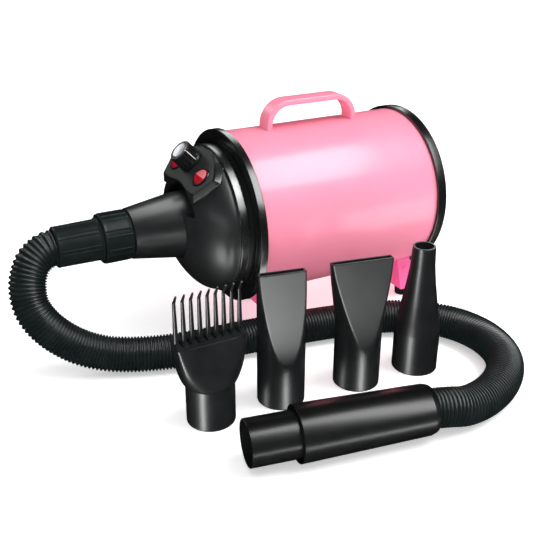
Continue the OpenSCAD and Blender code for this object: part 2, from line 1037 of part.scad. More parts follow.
// comb insert: a slotted plate with curved teeth
module comb_teeth() {
  first = -tooth_pitch * (tooth_count - 1) / 2;
  color(black)
    translate([comb_at[0], comb_at[1] - 1, comb_plate_z + 0.05])
      difference() {
        union() {
          translate([-comb_half, -9.8, 0])
            cube([2 * comb_half, 19.6, 2.4]);
          for (i = [0:tooth_count - 1])
            translate([first + tooth_pitch * i, 0, 0]) {
              translate([0, 1, 2.3])
                cylinder(r1 = 2.4, r2 = 1.5, h = 0.78 * tooth_len, $fn = 24);
              translate([0, 1, 2.3 + 0.78 * tooth_len])
                rotate([32, 0, 0])
                  cylinder(r1 = 1.5, r2 = 0.9, h = 0.2 * tooth_len, $fn = 24);
              translate([0, 1, 2.3 + 0.78 * tooth_len])
                sphere(r = 1.5, $fn = 24);
            }
        }
        for (i = [0:tooth_count - 2])
          translate([first + tooth_pitch * (i + 0.5) - 1, -6, -1])
            cube([2, 12, 5]);
      }
}

// wedge that flattens a nozzle, drawn back inwards by t; the far side mirrors the near one
module wedge(h, t) {
  translate([-50, 0, 0])
    rotate([90, 0, 90])
      linear_extrude(100)
        polygon([[-socket_r - 1 + t, -2], [socket_r + 1 - t, -2], [socket_r - t, wedge_z],
          [blade_half - t, h + 1], [-blade_half + t, h + 1], [-socket_r + t, wedge_z]]);
}

module narrow_nozzle() {
  color(black)
    translate([narrow_at[0], narrow_at[1], 0])
      rotate([0, 0, blade_turn])
        difference() {
          intersection() {
            cylinder(r = socket_r, h = narrow_h, $fn = 96);
            wedge(narrow_h, 0);
          }
          socket_bore();
          intersection() {
            translate([0, 0, 37])
              cylinder(r = nozzle_inner_r, h = narrow_h, $fn = 96);
            wedge(narrow_h, 1.7);
          }
        }
}

// body of the wide nozzle before it is flattened, drawn back inwards by t
module fan_body(t) {
  hull() {
    translate([0, 0, 62])
      cylinder(r = socket_r - t, h = 1, $fn = 32);
    translate([0, 0, wide_h - 1 + t])
      scale([(wide_half + 1 - t) / (socket_r - t), 1, 1])
        cylinder(r = socket_r - t, h = 1, $fn = 32);
  }
}

module wide_nozzle() {
  color(black)
    translate([wide_at[0], wide_at[1], 0])
      rotate([0, 0, blade_turn])
        difference() {
          intersection() {
            union() {
              cylinder(r = socket_r, h = 62.5, $fn = 96);
              fan_body(0);
            }
            wedge(wide_h, 0);
          }
          socket_bore();
          intersection() {
            union() {
              translate([0, 0, 37])
                cylinder(r = nozzle_inner_r, h = 26, $fn = 96);
              fan_body(socket_r - nozzle_inner_r);
            }
            wedge(wide_h, 1.7);
          }
        }
}

module round_nozzle() {
  color(black)
    translate([round_at[0], round_at[1], 0])
      rotate_extrude($fn = 120)
        polygon([[socket_bore_r, 0], [socket_r - 0.4, 0], [socket_r, 0.5], [socket_r, 44],
          [21.4, 52], [18.6, 66], [14, 95], [12, 112], [11.1, round_h], [8.9, round_h], [9.9, 112],
          [12, 95], [16.6, 66], [19.4, 52], [socket_bore_r - 0.5, 38], [socket_bore_r, 38]]);
}

body_shell();
front_band();
rear_band();
front_plate();
front_cover();
outlet_tube();
hose_cuff_ring();
hose_cuff_sleeve();
hose_end_collar();
hose_tube();
wand_collar();
wand_sleeve();
wand_tube();
handle();
handle_screws();
front_bracket();
rear_bracket();
bracket_rivets();
rubber_feet();
foot_screws();
speed_knob();
knob_cap();
potentiometer();
pot_shaft();
power_rocker();
heat_rocker();
switch_bezels();
switch_bodies();
cover_screws();
rear_plate();
rear_grille();
foam_filter();
cord_gland();
gland_nut();
sound_foam();
bulkhead();
fan_gasket();
fan_housing();
impellers();
diffuser();
motor_frame();
stator();
field_coils();
rotor_shaft();
armature();
commutator();
bearings();
brush_holders();
carbon_brushes();
motor_spider();
spider_grommets();
heater_boards();
heater_coils();
thermal_cutout();
control_board();
comb_nozzle();
comb_teeth();
narrow_nozzle();
wide_nozzle();
round_nozzle();
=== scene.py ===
import json
import math

import bpy
import numpy as np
from mathutils import Matrix, Vector


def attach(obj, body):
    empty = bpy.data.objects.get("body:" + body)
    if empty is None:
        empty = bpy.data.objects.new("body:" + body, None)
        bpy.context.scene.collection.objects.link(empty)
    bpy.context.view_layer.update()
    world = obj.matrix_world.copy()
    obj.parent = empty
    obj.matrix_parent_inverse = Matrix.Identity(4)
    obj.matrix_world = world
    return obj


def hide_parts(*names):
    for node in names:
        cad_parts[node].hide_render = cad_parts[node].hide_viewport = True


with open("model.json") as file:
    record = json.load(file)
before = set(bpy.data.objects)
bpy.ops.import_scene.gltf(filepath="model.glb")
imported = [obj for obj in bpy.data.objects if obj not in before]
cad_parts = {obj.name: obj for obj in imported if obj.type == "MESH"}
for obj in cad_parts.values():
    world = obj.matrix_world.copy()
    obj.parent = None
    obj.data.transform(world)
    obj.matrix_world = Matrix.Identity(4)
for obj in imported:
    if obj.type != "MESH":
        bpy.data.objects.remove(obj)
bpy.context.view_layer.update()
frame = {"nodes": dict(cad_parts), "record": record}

# lengths in this script are millimetres in the row frame, and MM turns them into metres
MM = 0.001

# blower's axis, and places along it
AXIS_Y = 101.5
AXIS_H = 125.0
SHELL_X0, SHELL_X1 = -54.0, 166.0
SHELL_R = 88.4
SHELL_T = 1.2
FRONT_X = -56.5
REAR_X = 170.5
BAND_R = 92.0
BAND_W = 8.0
NECK_R = 76.0
DOME_X0, DOME_X1 = -111.5, -70.0
DOME_POWER = 2.2
TUBE_ROOT_R = 34.0
TUBE_END_X = -160.5
TUBE_END_R = 26.0
SPIGOT_X = -178.5
SPIGOT_R = 22.5
CUFF_X = -190.0
HOSE_X = -235.0

# control panel: its front edge above the axis, its slope, and the places on it
PANEL_X = -105.3
PANEL_Z = 44.2
PANEL_TILT = math.radians(43)
PANEL_HALF = 39.5
BLOCK_DEPTH = 7.0
POCKET_R = 43.0
KNOB_S = 27.0
KNOB_Y = 6.5
ROCKER_S = 19.3
ROCKER_Y = 29.5

# wand: the middle of its mouth, its heading, and its length
WAND_END = (-149.0, -139.5, 25.3)
WAND_ANGLE = math.radians(-10.9)
WAND_LEN = 168.5

# nozzles: where each stands, its height, and the sockets that they share
COMB_AT = (-145.5, -61.0)
NARROW_AT = (-73.5, -62.0)
WIDE_AT = (6.5, -70.0)
ROUND_AT = (74.5, -74.5)
COMB_H = 84
NARROW_H = 132
WIDE_H = 130
ROUND_H = 132
BLADE_TURN = math.radians(-10.9)
BLADE_HALF = 3.5
SOCKET_R = 22.6
SOCKET_DEPTH = 38
BORE_R = 20.9

nodes = frame["nodes"]
scene = bpy.context.scene

# ---- camera ----

camera_data = bpy.data.cameras.new("camera")
camera_data.lens = 53.36
camera_data.sensor_width = 36
camera_data.clip_start = 0.02
camera_data.clip_end = 50
camera = bpy.data.objects.new("camera", camera_data)
camera.location = (-0.3792, -0.6132, 0.4338)
camera.rotation_euler = (math.radians(64.81), 0, math.radians(-27.78))
scene.collection.objects.link(camera)
scene.camera = camera

# ---- helpers for meshes ----


def add_mesh(name, verts, faces, material, body, slot, node=None):
    """A smooth piece from points in millimetres. It rides on body and may stand for a node."""
    mesh = bpy.data.meshes.new(name)
    mesh.from_pydata((np.asarray(verts, float) * MM).tolist(), [], [list(f) for f in faces])
    mesh.validate()
    piece = bpy.data.objects.new(name, mesh)
    scene.collection.objects.link(piece)
    mesh.polygons.foreach_set("use_smooth", [True] * len(mesh.polygons))
    for m in material if isinstance(material, (list, tuple)) else [material]:
        mesh.materials.append(m)
    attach(piece, body)
    if node:
        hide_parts(node)
    return piece


def join_parts(parts):
    """One list of points and faces from several."""
    verts, faces, count = [], [], 0
    for v, f in parts:
        verts.append(np.asarray(v, float))
        faces += [[i + count for i in face] for face in f]
        count += len(v)
    return np.vstack(verts), faces


def axis_frame(origin, direction, up=(0, 0, 1)):
    """A matrix whose Z lies along direction and whose X is as near to up as it can be."""
    z = Vector(direction).normalized()
    x = Vector(up) - Vector(up).dot(z) * z
    x.normalize()
    y = z.cross(x)
    m = Matrix((x, y, z)).transposed().to_4x4()
    m.translation = Vector(origin)
    return np.array(m)


BLOWER = axis_frame((0, AXIS_Y, AXIS_H), (1, 0, 0))
WAND_DIR = (math.cos(WAND_ANGLE), math.sin(WAND_ANGLE), 0)
WAND = axis_frame(WAND_END, WAND_DIR)
PANEL_UP = (-math.sin(PANEL_TILT), 0, math.cos(PANEL_TILT))
PANEL_SLOPE = (math.cos(PANEL_TILT), 0, math.sin(PANEL_TILT))


def on_panel(s, y, up):
    """The frame of a control: Z off the panel's face, X up its slope."""
    origin = Vector((PANEL_X, AXIS_Y + y, AXIS_H + PANEL_Z))
    origin += s * Vector(PANEL_SLOPE) + up * Vector(PANEL_UP)
    return axis_frame(origin, PANEL_UP, PANEL_SLOPE)


def upright(x, y, turn=0):
    """The frame of something that stands on the floor, turned about its upright axis."""
    return axis_frame((x, y, 0), (0, 0, 1), (math.cos(turn), math.sin(turn), 0))


def place(points, matrix):
    """Points of the matrix's frame, as points of the row frame."""
    points = np.asarray(points, float)
    return points @ matrix[:3, :3].T + matrix[:3, 3]


def rounded(corners, steps=5):
    """A closed outline from corners (a, b, radius), with each corner rounded."""
    out = []
    for i, (a, b, r) in enumerate(corners):
        here = Vector((a, b))
        before = Vector(corners[i - 1][:2]) - here
        after = Vector(corners[(i + 1) % len(corners)][:2]) - here
        if r <= 0:
            out.append((a, b))
            continue
        angle = before.angle(after)
        reach = min(r / math.tan(angle / 2), 0.48 * before.length, 0.48 * after.length)
        first = here + before.normalized() * reach
        last = here + after.normalized() * reach
        for k in range(steps + 1):
            t = k / steps
            p = (1 - t) ** 2 * first + 2 * t * (1 - t) * here + t * t * last
            out.append(tuple(p))
    return out


def densify(outline, longest):
    """The same closed outline with no stretch longer than longest."""
    out = []
    for i, p in enumerate(outline):
        q = outline[(i + 1) % len(outline)]
        n = max(1, math.ceil(math.dist(p, q) / longest))
        out += [(p[0] + (q[0] - p[0]) * k / n, p[1] + (q[1] - p[1]) * k / n) for k in range(n)]
    return out


def turned(outline, matrix, sides=160, wave=None):
    """Points and faces of a closed outline (along, radius) turned about the matrix's Z."""
    t = np.array([p[0] for p in outline])
    r = np.array([p[1] for p in outline])
    phi = np.arange(sides) * 2 * math.pi / sides
    radius = np.repeat(r[:, None], sides, 1)
    if wave:
        radius = radius + wave(t[:, None], r[:, None], phi[None, :])
    local = np.stack([radius * np.cos(phi), radius * np.sin(phi),
                      np.repeat(t[:, None], sides, 1)], -1)
    n = len(outline)
    faces = []
    for i in range(n):
        j = (i + 1) % n
        for k in range(sides):
            m = (k + 1) % sides
            faces.append([i * sides + k, i * sides + m, j * sides + m, j * sides + k])
    return place(local.reshape(-1, 3), matrix), faces


def swept(rings):
    """Points and faces of a closed body through rings of points, capped at both ends."""
    n = len(rings[0])
    verts = np.vstack(rings)
    faces = []
    for i in range(len(rings) - 1):
        for k in range(n):
            m = (k + 1) % n
            faces.append([i * n + k, i * n + m, (i + 1) * n + m, (i + 1) * n + k])
    faces.append(list(range(n))[::-1])
    faces.append([(len(rings) - 1) * n + k for k in range(n)])
    return verts, faces


def smax(a, b, k):
    """The larger of two distances, rounded over a width of k."""
    h = np.maximum(k - np.abs(a - b), 0) / k
    return np.maximum(a, b) + h * h * k / 4


def smin(a, b, k):
    """The smaller of two distances, rounded over a width of k."""
    return -smax(-a, -b, k)


def field_surface(field, low, high, step):
    """Points and faces of the surface where field(x, y, z) is 0. It is negative inside.

    Each grid cell that the surface crosses gets one point, the mean of the crossings on its
    edges. The points are then pulled onto the surface along the field's slope.
    """
    axes = [np.arange(a - step, b + 2 * step, step) for a, b in zip(low, high)]
    grid = np.meshgrid(*axes, indexing="ij")
    value = field(*grid)
    shape = value.shape
    total = np.zeros((shape[0] - 1, shape[1] - 1, shape[2] - 1, 3))
    count = np.zeros(total.shape[:3])
    crossings = []
    for axis in range(3):
        head = [slice(None)] * 3
        tail = [slice(None)] * 3
        head[axis] = slice(0, -1)
        tail[axis] = slice(1, None)
        a, b = value[tuple(head)], value[tuple(tail)]
        i, j, k = np.nonzero((a < 0) != (b < 0))
        va, vb = a[i, j, k], b[i, j, k]
        point = np.stack([axes[0][i], axes[1][j], axes[2][k]], -1)
        point[:, axis] += va / (va - vb) * step
        others = [n for n in range(3) if n != axis]
        for da in (0, -1):
            for db in (0, -1):
                cell = [i, j, k]
                cell[others[0]] = cell[others[0]] + da
                cell[others[1]] = cell[others[1]] + db
                np.add.at(total, tuple(cell), point)
                np.add.at(count, tuple(cell), 1)
        crossings.append((i, j, k, va < 0, others))
    used = count > 0
    number = np.full(count.shape, -1)
    number[used] = np.arange(used.sum())
    points = total[used] / count[used][:, None]
    faces = []
    for axis, (i, j, k, inside, others) in enumerate(crossings):
        corner = []
        for da, db in ((0, 0), (-1, 0), (-1, -1), (0, -1)):
            cell = [i, j, k]
            cell[others[0]] = cell[others[0]] + da
            cell[others[1]] = cell[others[1]] + db
            corner.append(number[tuple(cell)])
        quad = np.stack(corner, -1)
        flip = inside if axis != 1 else ~inside
        quad[~flip] = quad[~flip][:, ::-1]
        faces.append(quad)
    small = step * 0.02
    for _ in range(3):
        here = field(*points.T)
        slope = np.stack([(field(*(points + small * e).T) - field(*(points - small * e).T))
                          / (2 * small) for e in np.eye(3)], -1)
        size = np.maximum((slope**2).sum(1), 0.05)
        move = -(here / size)[:, None] * slope
        length = np.linalg.norm(move, axis=1, keepdims=True)
        points = points + move * np.minimum(1, 0.4 * step / np.maximum(length, 1e-9))
    return points, np.vstack(faces).tolist()


# ---- materials ----


def surface(name, dark, light, rough, blotch=60, grain=1500, depth=0.00004, metallic=0.0,
            spread=0.06, specular=0.5, coat=0.0, sheen=0.0):
    """A material with mottled colour, uneven gloss and a fine grain."""
    m = bpy.data.materials.new(name)
    m.use_nodes = True
    tree = m.node_tree
    link = tree.links.new
    shader = tree.nodes["Principled BSDF"]
    shader.inputs["Metallic"].default_value = metallic
    shader.inputs["Specular IOR Level"].default_value = specular
    shader.inputs["Coat Weight"].default_value = coat
    shader.inputs["Coat Roughness"].default_value = 0.12
    shader.inputs["Sheen Weight"].default_value = sheen
    place_node = tree.nodes.new("ShaderNodeTexCoord")
    cloud = tree.nodes.new("ShaderNodeTexNoise")
    cloud.inputs["Scale"].default_value = blotch
    cloud.inputs["Detail"].default_value = 4
    link(place_node.outputs["Object"], cloud.inputs["Vector"])
    ramp = tree.nodes.new("ShaderNodeValToRGB")
    ramp.color_ramp.elements[0].position = 0.3
    ramp.color_ramp.elements[0].color = (*dark, 1)
    ramp.color_ramp.elements[1].position = 0.7
    ramp.color_ramp.elements[1].color = (*light, 1)
    link(cloud.outputs["Fac"], ramp.inputs["Fac"])
    link(ramp.outputs["Color"], shader.inputs["Base Color"])
    speck = tree.nodes.new("ShaderNodeTexNoise")
    speck.inputs["Scale"].default_value = grain
    speck.inputs["Detail"].default_value = 3
    link(place_node.outputs["Object"], speck.inputs["Vector"])
    gloss = tree.nodes.new("ShaderNodeMapRange")
    gloss.inputs["To Min"].default_value = max(0.02, rough - spread)
    gloss.inputs["To Max"].default_value = rough + spread
    link(cloud.outputs["Fac"], gloss.inputs["Value"])
    link(gloss.outputs["Result"], shader.inputs["Roughness"])
    bump = tree.nodes.new("ShaderNodeBump")
    bump.inputs["Distance"].default_value = depth
    bump.inputs["Strength"].default_value = 0.6
    link(speck.outputs["Fac"], bump.inputs["Height"])
    link(bump.outputs["Normal"], shader.inputs["Normal"])
    return m


MATERIALS = {
    "pink_paint": surface("pink_paint", (0.925, 0.26, 0.375), (0.945, 0.275, 0.395), 0.33,
                          blotch=25, grain=900, depth=0.00003, spread=0.03, coat=0.3),
    "magenta_paint": surface("magenta_paint", (0.92, 0.115, 0.34), (0.94, 0.13, 0.36), 0.4,
                             blotch=40, grain=900, depth=0.00003, spread=0.04),
    "black_gloss": surface("black_gloss", (0.0055, 0.006, 0.0065), (0.0085, 0.009, 0.0095), 0.29,
                           spread=0.03, grain=800, depth=0.000015),
    "black_satin": surface("black_satin", (0.0075, 0.0085, 0.009), (0.012, 0.0132, 0.014), 0.36,
                           spread=0.03, grain=1400, depth=0.00003),
    "panel_grey": surface("panel_grey", (0.014, 0.0155, 0.0155), (0.02, 0.022, 0.022), 0.45,
                          spread=0.05, grain=1800, depth=0.00006, specular=0.25),
    "black_rubber": surface("black_rubber", (0.006, 0.0095, 0.0095), (0.010, 0.0145, 0.0145), 0.36,
                            spread=0.05, grain=1600, depth=0.00003, specular=0.3),
    "hose_black": surface("hose_black", (0.006, 0.0095, 0.0095), (0.0105, 0.0155, 0.0155), 0.3,
                          spread=0.05, grain=1200, depth=0.00003),
    "red_plastic": surface("red_plastic", (0.36, 0.004, 0.012), (0.44, 0.006, 0.018), 0.2,
                           spread=0.04, grain=900, depth=0.00002),
    "silver_trim": surface("silver_trim", (0.50, 0.51, 0.53), (0.66, 0.67, 0.68), 0.3,
                           spread=0.06, grain=2600, depth=0.00001, metallic=1.0),
    "steel": surface("steel", (0.50, 0.51, 0.53), (0.62, 0.63, 0.65), 0.34,
                     spread=0.08, grain=1200, depth=0.00002, metallic=1.0),
    "laminations": surface("laminations", (0.22, 0.23, 0.24), (0.30, 0.31, 0.32), 0.5,
                           grain=900, depth=0.00005, metallic=0.8),
    "copper": surface("copper", (0.50, 0.20, 0.09), (0.62, 0.27, 0.13), 0.35,
                      grain=900, depth=0.00005, metallic=1.0),
    "foam": surface("foam", (0.020, 0.021, 0.022), (0.06, 0.062, 0.065), 0.95,
                    blotch=600, grain=420, depth=0.0009, spread=0.03, sheen=0.3),
    "mica": surface("mica", (0.62, 0.56, 0.43), (0.72, 0.66, 0.53), 0.6, depth=0.00004),
    "brown_plastic": surface("brown_plastic", (0.12, 0.05, 0.02), (0.16, 0.07, 0.03), 0.45),
    "green_board": surface("green_board", (0.02, 0.12, 0.04), (0.03, 0.16, 0.06), 0.35),
}
WHITE_LINE = surface("white_line", (0.75, 0.76, 0.76), (0.85, 0.86, 0.86), 0.4, depth=0.00001)
TRIM_GLOSS = surface("trim_gloss", (0.006, 0.0062, 0.0065), (0.009, 0.0092, 0.0095), 0.24,
                     spread=0.02, grain=700, depth=0.00001, specular=0.8)
# painted highlight: a lighter red for the half of each rocker button that would catch the light
RED_PAINTED_HIGHLIGHT = surface("red_painted_highlight", (0.55, 0.09, 0.12), (0.66, 0.16, 0.19), 0.3, spread=0.04)

for part in frame["record"]["subparts"]:
    # CAD nodes that stay in sight take their record's finish
    for material_slot in nodes[part["node"]].material_slots:
        material_slot.material = MATERIALS[part["material_slot"]]

# ---- hose ----

HOSE_R = 18.0
HOSE_BORE_R = 18.56
HOSE_ROUTE = [
    (-0.2353, 0.1015, 0.125), (-0.245, 0.1005, 0.1235), (-0.257, 0.0975, 0.1155),
    (-0.265, 0.0925, 0.101), (-0.2675, 0.087, 0.085), (-0.265, 0.081, 0.0705),
    (-0.2565, 0.0755, 0.0555), (-0.243, 0.0705, 0.041), (-0.226, 0.065, 0.029),
    (-0.206, 0.0585, 0.021), (-0.185, 0.050, 0.0182), (-0.162, 0.041, 0.018),
    (-0.137, 0.0345, 0.018), (-0.105, 0.030, 0.018), (-0.070, 0.027, 0.018),
    (-0.030, 0.022, 0.018), (0.015, 0.015, 0.018), (0.060, 0.005, 0.018),
    (0.092, -0.0065, 0.018), (0.117, -0.0215, 0.018), (0.136, -0.040, 0.018),
    (0.148, -0.062, 0.018), (0.1525, -0.086, 0.018), (0.1495, -0.110, 0.018),
    (0.1395, -0.132, 0.018), (0.122, -0.151, 0.018), (0.099, -0.1655, 0.018),
    (0.075, -0.174, 0.0185), (0.052, -0.1775, 0.0205), (0.034, -0.1758, 0.024),
    (0.0168, -0.1715, 0.0253),
]
# ridges: their pitch on the floor, how much they open towards the cuff, and over what length
RIDGE_PITCH = 3.3
RIDGE_STRETCH = 0.7
RIDGE_STRETCH_OVER = 130.0
RIDGE_DEPTH = 2.0
RIDGE_STEPS = 8
HOSE_SIDES = 56


def smooth_route(points, steps):
    """A smooth curve through the points, as an array with steps points for each stretch."""
    p = np.array(points)
    p = np.vstack([p[:1], p, p[-1:]])
    t = (np.arange(steps) / steps)[:, None]
    out = []
    for a, b, c, d in zip(p[:-3], p[1:-2], p[2:-1], p[3:]):
        out.append(0.5 * (2 * b + (c - a) * t + (2 * a - 5 * b + 4 * c - d) * t**2
                          + (3 * b - a - 3 * c + d) * t**3))
    return np.vstack(out + [p[-1:]])


def hose_rings():
    """Centre points, and the radius there, with RIDGE_STEPS rings for each ridge."""
    line = smooth_route(HOSE_ROUTE, 40) / MM
    along = np.concatenate([[0], np.cumsum(np.linalg.norm(np.diff(line, axis=0), axis=1))])
    pitch = RIDGE_PITCH + RIDGE_STRETCH * np.exp(-((along / RIDGE_STRETCH_OVER) ** 2))
    turns = np.concatenate([[0], np.cumsum(np.diff(along) / pitch[:-1])])
    count = round(turns[-1])
    phase = np.arange(count * RIDGE_STEPS + 1) / RIDGE_STEPS
    at = np.interp(phase * turns[-1] / count, turns, along)
    centre = np.stack([np.interp(at, along, line[:, n]) for n in range(3)], -1)
    groove = np.abs(np.cos(np.pi * phase)) ** 2.6
    return centre, HOSE_R - RIDGE_DEPTH * groove


hose_centre, hose_radius = hose_rings()
hose_along = np.gradient(hose_centre, axis=0)
hose_along[0] = (-1, 0, 0)
hose_along[-1] = -np.array(WAND_DIR)
hose_along /= np.linalg.norm(hose_along, axis=1, keepdims=True)
hose_side = np.cross(hose_along, (0, 0, 1))
hose_side /= np.linalg.norm(hose_side, axis=1, keepdims=True)
hose_up = np.cross(hose_side, hose_along)
ring_angle = (np.arange(HOSE_SIDES) * 2 * math.pi / HOSE_SIDES)[:, None]


hose_surface = [centre + radius * (np.cos(ring_angle) * side + np.sin(ring_angle) * up)
                for centre, radius, side, up in zip(hose_centre, hose_radius, hose_side, hose_up)]
hose = add_mesh("corrugated_hose", *swept(hose_surface), MATERIALS["hose_black"],
                "dryer", "hose_black", "hose_tube")

# ---- cuff on the outlet ----


def ridges(at, half, phi, count, phase, offset):
    """How high paired lengthwise ridges stand at each angle phi."""
    turn = 2 * math.pi / count
    rise = 0
    for side in (-offset, offset):
        away = (phi - math.radians(phase + side) + turn / 2) % turn - turn / 2
        rise = np.maximum(rise, np.clip(1 - np.abs(np.degrees(away)) / half, 0, 1) * at)
    return rise


def ring_wave(t, r, phi):
    """Paired ridges on the cuff ring's outside."""
    inside = np.clip((t + 188.6) / 1.2, 0, 1) * np.clip((-162.4 - t) / 1.2, 0, 1) * (r > 24.2)
    return inside * (ridges(1.0, 1.6, phi, 8, 16.6, 7) - 0.35)


def sleeve_wave(t, r, phi):
    """Paired ridges on the cuff sleeve's outside."""
    inside = np.clip((t + 233.0) / 1.2, 0, 1) * np.clip((-191.0 - t) / 1.0, 0, 1) * (r > 19.6)
    return inside * (ridges(0.85, 1.8, phi, 8, 0, 5.5) - 0.25)


CUFF_STEP = 1.2
CUFF_SIDES = 480
cuff_ring_outline = densify(rounded([
    (CUFF_X, 22.56, 0), (CUFF_X, 24.9, 1.4), (-188.6, 25.2, 0.5), (-162, 25.2, 0.6),
    (-161, 24.4, 0.4), (-161, 22.56, 0)]), CUFF_STEP)
cuff_ring = add_mesh("cuff_ring", *turned(cuff_ring_outline, BLOWER, CUFF_SIDES, ring_wave),
                     MATERIALS["black_rubber"], "cuff", "black_rubber", "hose_cuff_ring")
cuff_sleeve_outline = densify(rounded([
    (HOSE_X, HOSE_BORE_R, 0.2), (HOSE_X, 19.9, 0.8), (-233.6, 20.5, 0.8), (-193, 21.2, 0.8),
    (-191.6, 22.4, 0.5), (-190.05, 22.4, 0), (-190.05, HOSE_BORE_R, 0)]), CUFF_STEP)
cuff_sleeve = add_mesh(
    "cuff_sleeve", *turned(cuff_sleeve_outline, BLOWER, CUFF_SIDES, sleeve_wave),
    MATERIALS["black_rubber"], "cuff", "black_rubber", "hose_cuff_sleeve")

# ---- wand ----

wand_tube = nodes["wand_tube"]
wand_sleeve = add_mesh("wand_grip_sleeve", *turned(rounded([
    (43, 23.4, 0.4), (43, 25.3, 0.8), (163, 22.95, 3), (WAND_LEN, 21.2, 1.6),
    (WAND_LEN, HOSE_BORE_R, 0), (140, HOSE_BORE_R, 0), (140, 20.45, 0), (52, 20.45, 0),
    (52, 23.4, 0.5)]), WAND, 192),
    MATERIALS["black_gloss"], "wand", "black_gloss", "wand_sleeve")

# ---- body: shell, bands, handle ----

DRUM_SIDES = 256
BAND_BORE_R = SHELL_R + 0.1
FRONT_LIP_R = 79.5
REAR_LIP_R = 84.0
shell = add_mesh("pink_shell", *turned(rounded([
    (SHELL_X0, SHELL_R - SHELL_T, 0), (SHELL_X0, SHELL_R, 0.4), (SHELL_X1, SHELL_R, 0.4),
    (SHELL_X1, SHELL_R - SHELL_T, 0)]), BLOWER, DRUM_SIDES),
    MATERIALS["pink_paint"], "dryer", "pink_paint", "body_shell")
front_band = add_mesh("front_end_band", *turned(rounded([
    (FRONT_X, FRONT_LIP_R, 0.6), (FRONT_X, BAND_R, 1.0), (FRONT_X + BAND_W, BAND_R, 0.8),
    (FRONT_X + BAND_W, BAND_BORE_R, 0.2), (SHELL_X0, BAND_BORE_R, 0),
    (SHELL_X0, FRONT_LIP_R, 0)], 8), BLOWER, DRUM_SIDES),
    TRIM_GLOSS, "dryer", "black_gloss", "front_band")
rear_band = add_mesh("rear_end_band", *turned(rounded([
    (160, BAND_BORE_R, 0.2), (160, BAND_R, 0.8), (REAR_X, BAND_R, 1.2),
    (REAR_X, REAR_LIP_R, 0.8), (SHELL_X1 + 0.1, REAR_LIP_R, 0),
    (SHELL_X1 + 0.1, BAND_BORE_R, 0)], 8), BLOWER, DRUM_SIDES),
    TRIM_GLOSS, "dryer", "black_gloss", "rear_band")

# strap handle: the middle line's place and half length, its height above the axis, its corner's
# radius, the height above the axis where its feet begin, and half its thickness and width
HANDLE_X = 47.5
HANDLE_HALF = 51.0
HANDLE_TOP = 114.5
HANDLE_CORNER = 23.0
HANDLE_FOOT = 84
STRAP_T = 3
STRAP_W = 10


def handle_line():
    """Middle line of the strap as (x, height above the axis)."""
    points = [(-HANDLE_HALF, h)
              for h in np.linspace(HANDLE_FOOT, HANDLE_TOP - HANDLE_CORNER, 8)]
    for a in np.linspace(180, 90, 20)[1:]:
        points.append((-HANDLE_HALF + HANDLE_CORNER * (1 + math.cos(math.radians(a))),
                       HANDLE_TOP - HANDLE_CORNER * (1 - math.sin(math.radians(a)))))
    flat = HANDLE_HALF - HANDLE_CORNER
    points += [(x, HANDLE_TOP) for x in np.linspace(-flat, 0, 8)[1:]]
    points += [(-x, h) for x, h in points[-2::-1]]
    return np.array(points)


strap_line = handle_line()
strap_run = np.gradient(strap_line, axis=0)
strap_run /= np.linalg.norm(strap_run, axis=1, keepdims=True)
strap_section = np.array(rounded([(-STRAP_T, -STRAP_W, 1.6), (STRAP_T, -STRAP_W, 1.6),
                                  (STRAP_T, STRAP_W, 1.6), (-STRAP_T, STRAP_W, 1.6)]))


def strap_ring(middle, run):
    """The strap's outline round a point of its middle line, square to the line's run."""
    spot = middle + strap_section[:, :1] * np.array([-run[1], run[0]])
    return np.stack([HANDLE_X + spot[:, 0], AXIS_Y + strap_section[:, 1],
                     AXIS_H + spot[:, 1]], -1)


add_mesh("strap_handle", *swept([strap_ring(*spot) for spot in zip(strap_line, strap_run)]),
         MATERIALS["pink_paint"], "dryer", "pink_paint", "handle")

# ---- front cover and outlet ----

# flange's middle, half width, outer radius and rounding
FLANGE_X = -66.3
FLANGE_HALF = 4.2
FLANGE_R = 78.5
FLANGE_EDGE = 0.6
# pocket over the outlet tube: its back, its floor above the axis, and where its flare begins
POCKET_BACK = -91
POCKET_FLOOR = 20
FLARE_X = PANEL_X + 4.5
WELL_R = 9.5
WELL_DEPTH = 6
# a distance that no blend reaches
FAR = 9
# the panel's finish starts above the first, the flange's outside the second
PANEL_LOW = 40
FLANGE_FACE = 77.2


def dome_radius(x):
    """The dome's outer radius at x, which rises from the outlet tube to the neck."""
    u = np.clip((x - DOME_X0) / (DOME_X1 - DOME_X0), 0, 1)
    return TUBE_ROOT_R + (NECK_R - TUBE_ROOT_R) * (1 - (1 - u) ** DOME_POWER)


